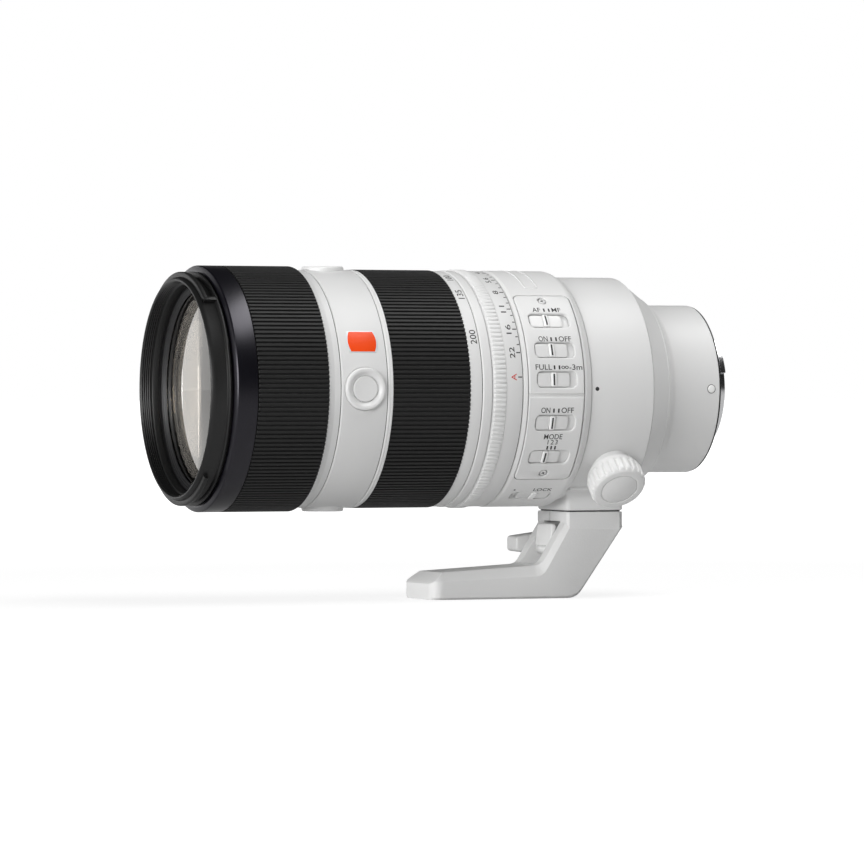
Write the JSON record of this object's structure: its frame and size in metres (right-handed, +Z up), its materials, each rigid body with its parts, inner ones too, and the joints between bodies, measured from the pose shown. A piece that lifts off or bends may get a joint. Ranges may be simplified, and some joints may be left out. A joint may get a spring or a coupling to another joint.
{
  "type": "camera zoom lens",
  "caption": "White telephoto zoom lens with ribbed focus and zoom rings, an aperture ring, slide switches, a bayonet mount and a turning tripod collar with a foot.",
  "frame": {"origin": "centre of the camera flange, on the optical axis", "axes": "+X leaves the lens towards the camera, +Z is up, away from the tripod foot, and -Y is the side with the slide switches"},
  "size_m": [0.2056, 0.088, 0.1201],
  "materials": {
    "white_paint": "satin off-white paint over metal",
    "black_paint": "satin black",
    "gloss_black": "polished black",
    "grip_rubber": "ribbed black rubber",
    "inner_black": "black anodised aluminium",
    "optical_glass": "coated optical glass",
    "badge_orange": "orange with a silver border",
    "switch_white": "smooth white plastic",
    "button_white": "smooth white plastic",
    "mount_chrome": "machined chromed brass",
    "steel": "turned steel",
    "blade_black": "thin black sheet",
    "contact_plastic": "black moulding",
    "contact_gold": "gold plated",
    "gasket_rubber": "soft black rubber",
    "bead_white": "white bead"
  },
  "bodies": {
    "barrel": {"filter_ring": "black_paint", "name_ring": "gloss_black", "core_tube": "inner_black", "front_retainer": "inner_black", "front_cell": "inner_black", "front_elements": "optical_glass", "front_band": "white_paint", "button_bezels": "white_paint", "badge_plate": "badge_orange", "index_ring": "white_paint", "switch_barrel": "white_paint", "upper_switch_plate": "white_paint", "lower_switch_plate": "white_paint", "plate_screws": "steel", "guide_rods": "steel", "iris_housing": "inner_black", "iris_blades": "blade_black", "rear_barrel": "white_paint", "mount_index_bead": "bead_white", "rear_cell": "inner_black", "rear_elements": "optical_glass", "mount_gasket": "gasket_rubber", "bayonet_mount": "mount_chrome", "mount_screws": "steel", "rear_baffle": "contact_plastic", "contact_block": "contact_plastic", "contact_pins": "contact_gold"},
    "focus_ring": {"focus_ring": "white_paint", "focus_grip": "grip_rubber"},
    "zoom_ring": {"zoom_ring": "white_paint", "zoom_grip": "grip_rubber", "zoom_cam": "inner_black"},
    "variator": {"variator_cell": "inner_black", "variator_elements": "optical_glass"},
    "aperture_ring": {"aperture_ring": "white_paint"},
    "front_focus_group": {"front_focus_cell": "inner_black", "front_focus_element": "optical_glass"},
    "rear_focus_group": {"rear_focus_cell": "inner_black", "rear_focus_element": "optical_glass"},
    "stabiliser_slide": {"stabiliser_slide": "inner_black"},
    "stabiliser_cell": {"stabiliser_cell": "inner_black", "stabiliser_element": "optical_glass"},
    "side_hold_button": {"side_hold_button": "button_white"},
    "top_hold_button": {"top_hold_button": "button_white"},
    "lower_hold_button": {"lower_hold_button": "button_white"},
    "focus_mode_switch": {"focus_mode_switch": "switch_white"},
    "manual_assist_switch": {"manual_assist_switch": "switch_white"},
    "range_limit_switch": {"range_limit_switch": "switch_white"},
    "stabiliser_switch": {"stabiliser_switch": "switch_white"},
    "stabiliser_mode_switch": {"stabiliser_mode_switch": "switch_white"},
    "iris_lock_switch": {"iris_lock_switch": "switch_white"},
    "iris_click_switch": {"iris_click_switch": "switch_white"},
    "tripod_collar": {"tripod_collar": "white_paint"},
    "clamp_shoe": {"clamp_shoe": "inner_black"},
    "lock_knob": {"lock_knob": "white_paint", "clamp_screw": "steel"},
    "tripod_foot": {"tripod_foot": "white_paint", "foot_socket": "steel"},
    "foot_lever": {"foot_lever": "white_paint"},
    "release_tab": {"release_tab": "white_paint"}
  },
  "joints": [
    {"name": "focus_turn", "type": "hinge", "parent": "barrel", "child": "focus_ring", "pos_m": [-0.17, 0, 0], "axis": [1, 0, 0], "continuous": true},
    {"name": "zoom_turn", "type": "hinge", "parent": "barrel", "child": "zoom_ring", "pos_m": [-0.117, 0, 0], "axis": [-1, 0, 0], "range_deg": [0, 64.3]},
    {"name": "variator_travel", "type": "slide", "parent": "barrel", "child": "variator", "axis": [1, 0, 0], "range_m": [0, 0.028]},
    {"name": "aperture_turn", "type": "hinge", "parent": "barrel", "child": "aperture_ring", "pos_m": [-0.089, 0, 0], "axis": [-1, 0, 0], "range_deg": [0, 84.8]},
    {"name": "front_focus_travel", "type": "slide", "parent": "barrel", "child": "front_focus_group", "axis": [1, 0, 0], "range_m": [0, 0.005]},
    {"name": "rear_focus_travel", "type": "slide", "parent": "barrel", "child": "rear_focus_group", "axis": [1, 0, 0], "range_m": [0, 0.005]},
    {"name": "stabiliser_shift_y", "type": "slide", "parent": "barrel", "child": "stabiliser_slide", "axis": [0, 1, 0], "range_m": [-0.0008, 0.0008], "stiffness_N_per_m": 3000},
    {"name": "stabiliser_shift_z", "type": "slide", "parent": "stabiliser_slide", "child": "stabiliser_cell", "axis": [0, 0, 1], "range_m": [-0.0008, 0.0008], "stiffness_N_per_m": 3000},
    {"name": "side_hold_button_press", "type": "slide", "parent": "barrel", "child": "side_hold_button", "axis": [0, 1, 0], "range_m": [0, 0.0008], "stiffness_N_per_m": 40, "springref_m": -0.0005},
    {"name": "top_hold_button_press", "type": "slide", "parent": "barrel", "child": "top_hold_button", "axis": [0, 0, -1], "range_m": [0, 0.0008], "stiffness_N_per_m": 40, "springref_m": -0.0005},
    {"name": "lower_hold_button_press", "type": "slide", "parent": "barrel", "child": "lower_hold_button", "axis": [0, 0, 1], "range_m": [0, 0.0008], "stiffness_N_per_m": 40, "springref_m": -0.0005},
    {"name": "focus_mode_switch_slide", "type": "slide", "parent": "barrel", "child": "focus_mode_switch", "axis": [1, 0, 0], "range_m": [0, 0.002]},
    {"name": "manual_assist_switch_slide", "type": "slide", "parent": "barrel", "child": "manual_assist_switch", "axis": [1, 0, 0], "range_m": [0, 0.002]},
    {"name": "range_limit_switch_slide", "type": "slide", "parent": "barrel", "child": "range_limit_switch", "axis": [1, 0, 0], "range_m": [0, 0.002]},
    {"name": "stabiliser_switch_slide", "type": "slide", "parent": "barrel", "child": "stabiliser_switch", "axis": [1, 0, 0], "range_m": [0, 0.002]},
    {"name": "stabiliser_mode_switch_slide", "type": "slide", "parent": "barrel", "child": "stabiliser_mode_switch", "axis": [1, 0, 0], "range_m": [0, 0.0029]},
    {"name": "iris_lock_switch_slide", "type": "slide", "parent": "barrel", "child": "iris_lock_switch", "axis": [-1, 0, 0], "range_m": [0, 0.002]},
    {"name": "iris_click_switch_slide", "type": "slide", "parent": "barrel", "child": "iris_click_switch", "axis": [1, 0, 0], "range_m": [0, 0.002]},
    {"name": "collar_turn", "type": "hinge", "parent": "barrel", "child": "tripod_collar", "pos_m": [-0.044, 0, 0], "axis": [1, 0, 0], "continuous": true},
    {"name": "clamp_travel", "type": "slide", "parent": "tripod_collar", "child": "clamp_shoe", "axis": [0, -0.712, -0.7022], "range_m": [0, 0.001]},
    {"name": "knob_turn", "type": "hinge", "parent": "clamp_shoe", "child": "lock_knob", "pos_m": [-0.0433, -0.03055, -0.03012], "axis": [0, -0.712, -0.7022], "range_deg": [0, 360]},
    {"name": "foot_travel", "type": "slide", "parent": "tripod_collar", "child": "tripod_foot", "axis": [-1, 0, 0], "range_m": [0, 0.02]},
    {"name": "lever_turn", "type": "hinge", "parent": "tripod_foot", "child": "foot_lever", "pos_m": [-0.0425, 0.0146, -0.057], "axis": [0, -1, 0], "range_deg": [0, 60]},
    {"name": "tab_press", "type": "hinge", "parent": "tripod_foot", "child": "release_tab", "pos_m": [-0.0571, 0, -0.0586], "axis": [0, 1, 0], "range_deg": [0, 8], "stiffness_Nm_per_rad": 0.002, "springref_deg": -8.59}
  ],
  "couplings": [
    {"joint": "variator_travel", "follows": "zoom_turn", "m_per_rad": 0.02494},
    {"joint": "knob_turn", "follows": "clamp_travel", "rad_per_m": 6283.2}
  ]
}
